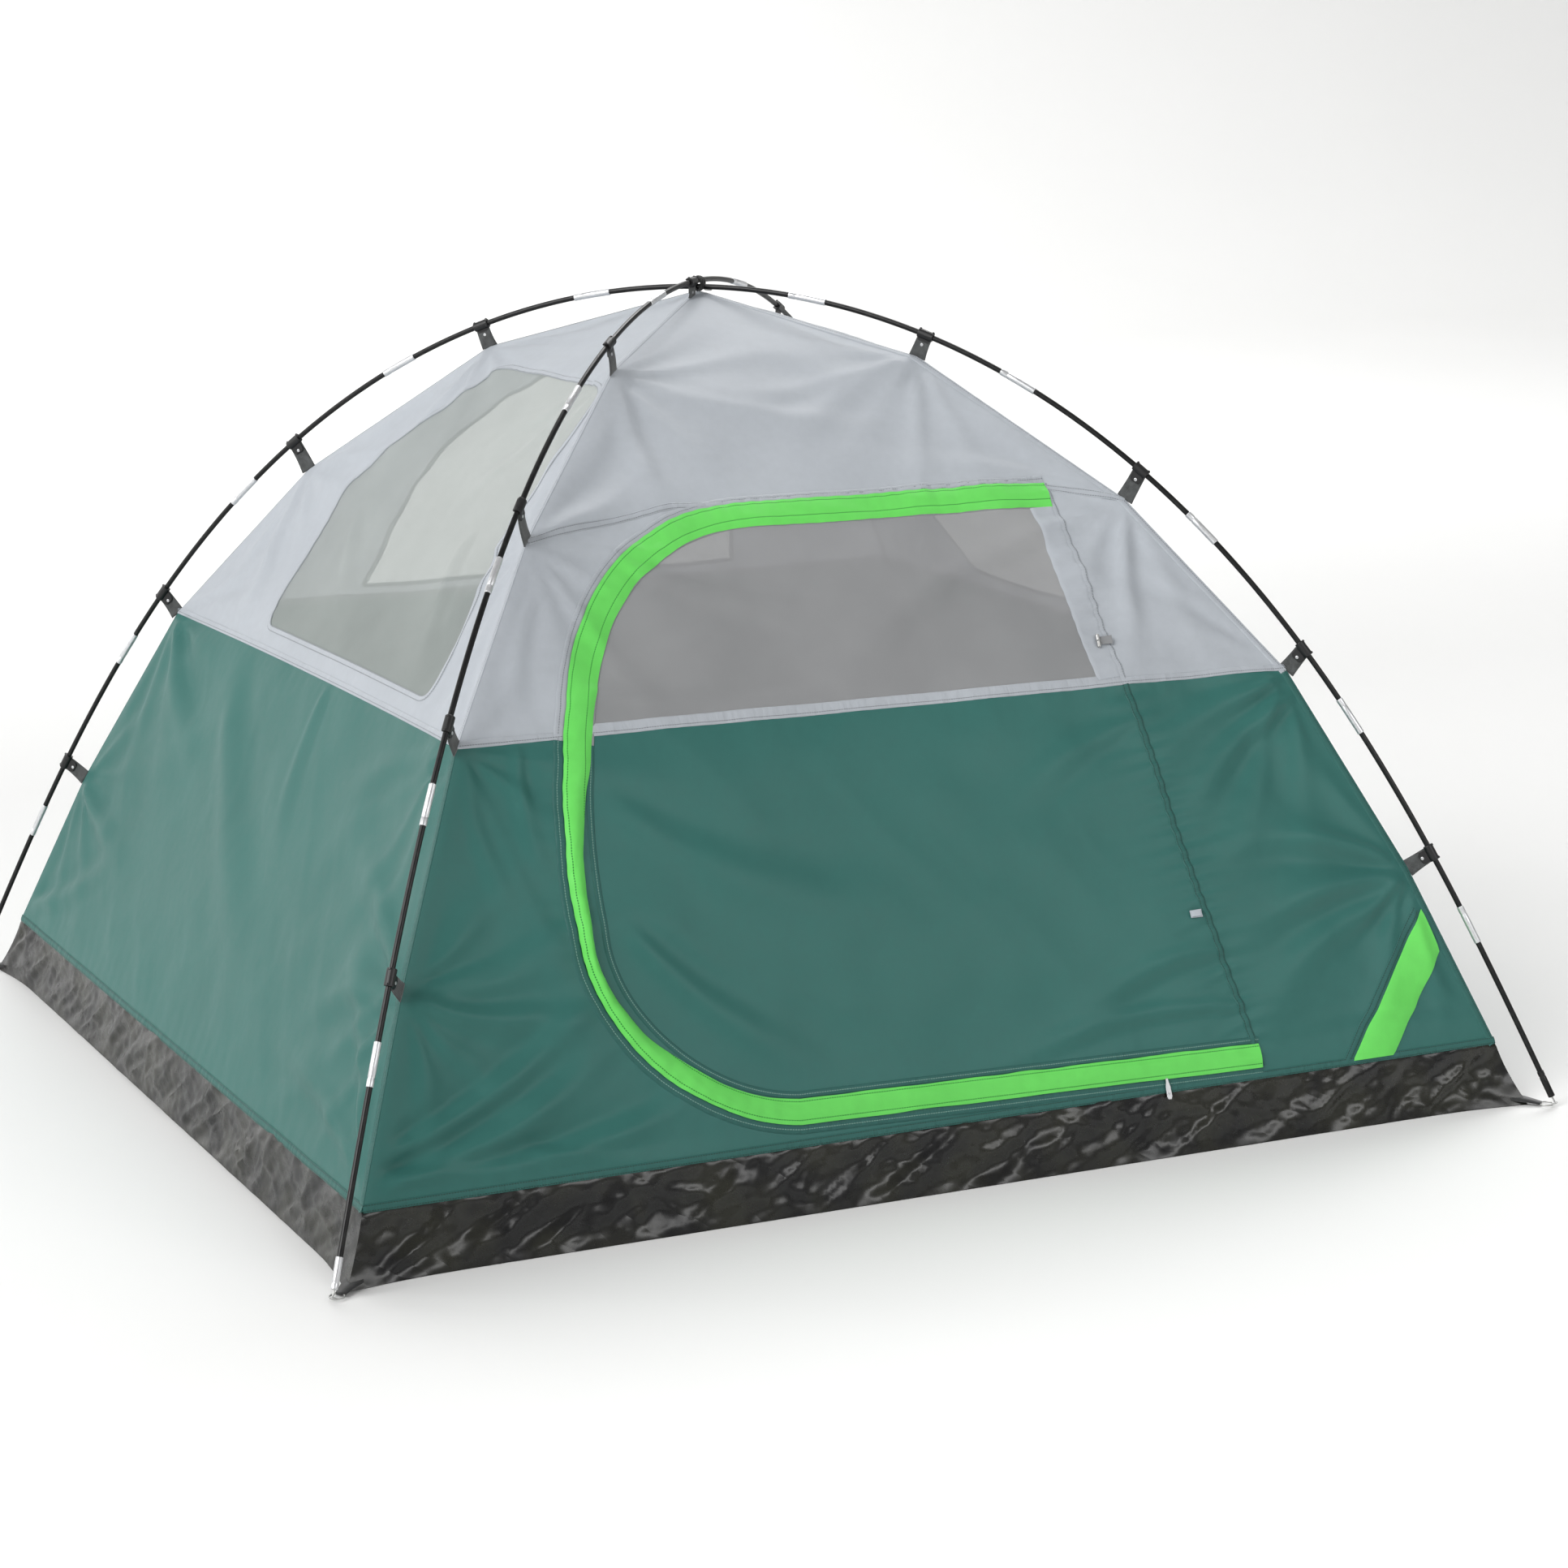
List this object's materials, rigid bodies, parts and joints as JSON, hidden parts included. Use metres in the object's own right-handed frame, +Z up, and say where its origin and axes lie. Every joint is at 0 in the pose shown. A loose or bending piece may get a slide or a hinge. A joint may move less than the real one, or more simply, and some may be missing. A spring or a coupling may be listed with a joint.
{
  "type": "dome tent",
  "caption": "Freestanding dome tent hung by clips under crossed flexible poles, with a zipped D-shaped door that swings open, mesh windows and a raised-edge groundsheet",
  "frame": {"origin": "on the ground at the centre of the footprint, under the pole crossing", "axes": "+Z up; the wall with the door faces -Y; the walls with the side windows face -X and +X"},
  "size_m": [2.1002, 2.1002, 1.3276],
  "materials": {
    "pole_black": "satin black fibreglass rod",
    "clip_webbing": "dark woven tape and black plastic hook",
    "ring_steel": "plain wire",
    "zip_metal": "die-cast, lightly worn",
    "lime_cloth": "bright coated polyester",
    "netting": "fine insect netting",
    "green_cloth": "coated polyester taffeta",
    "grey_cloth": "light coated polyester taffeta",
    "floor_tarpaulin": "woven tarpaulin with a glossy coating"
  },
  "bodies": {
    "tent": {"back_lower": "green_cloth", "back_upper": "grey_cloth", "back_window": "netting", "clip_apex": "clip_webbing", "clip_back_1": "clip_webbing", "clip_back_2": "clip_webbing", "clip_back_3": "clip_webbing", "clip_back_4": "clip_webbing", "clip_left_1": "clip_webbing", "clip_left_2": "clip_webbing", "clip_left_3": "clip_webbing", "clip_left_4": "clip_webbing", "clip_near_1": "clip_webbing", "clip_near_2": "clip_webbing", "clip_near_3": "clip_webbing", "clip_near_4": "clip_webbing", "clip_right_1": "clip_webbing", "clip_right_2": "clip_webbing", "clip_right_3": "clip_webbing", "clip_right_4": "clip_webbing", "floor_tub": "floor_tarpaulin", "front_lower": "green_cloth", "front_upper": "grey_cloth", "left_lower": "green_cloth", "left_upper": "grey_cloth", "left_window": "netting", "pole_lower_01": "pole_black", "pole_lower_02": "pole_black", "pole_lower_03": "pole_black", "pole_lower_04": "pole_black", "pole_lower_05": "pole_black", "pole_lower_06": "pole_black", "pole_lower_07": "pole_black", "pole_lower_08": "pole_black", "pole_lower_09": "pole_black", "pole_lower_10": "pole_black", "pole_lower_11": "pole_black", "pole_upper_01": "pole_black", "pole_upper_02": "pole_black", "pole_upper_03": "pole_black", "pole_upper_04": "pole_black", "pole_upper_05": "pole_black", "pole_upper_06": "pole_black", "pole_upper_07": "pole_black", "pole_upper_08": "pole_black", "pole_upper_09": "pole_black", "pole_upper_10": "pole_black", "pole_upper_11": "pole_black", "right_lower": "green_cloth", "right_upper": "grey_cloth", "right_window": "netting", "ring_back": "ring_steel", "ring_left": "ring_steel", "ring_near": "ring_steel", "ring_right": "ring_steel"},
    "door": {"door_mesh": "netting", "door_lower": "green_cloth", "door_zip_flap": "lime_cloth"},
    "zip_slider": {"zip_slider": "zip_metal"},
    "zip_pull": {"zip_pull": "zip_metal"}
  },
  "joints": [
    {"name": "door_swing", "type": "hinge", "parent": "tent", "child": "door", "pos_m": [0.421, -0.726, 0.701], "axis": [-0.1307, 0.4723, 0.8717], "range_deg": [0, 150]},
    {"name": "slider_travel", "type": "slide", "parent": "tent", "child": "zip_slider", "axis": [-0.9998, 0.007, 0.0185], "range_m": [-0.16, 0.6]},
    {"name": "pull_swing", "type": "hinge", "parent": "zip_slider", "child": "zip_pull", "pos_m": [0.352, -0.9731, 0.1211], "axis": [-1, 0, 0], "range_deg": [0, 120]}
  ]
}
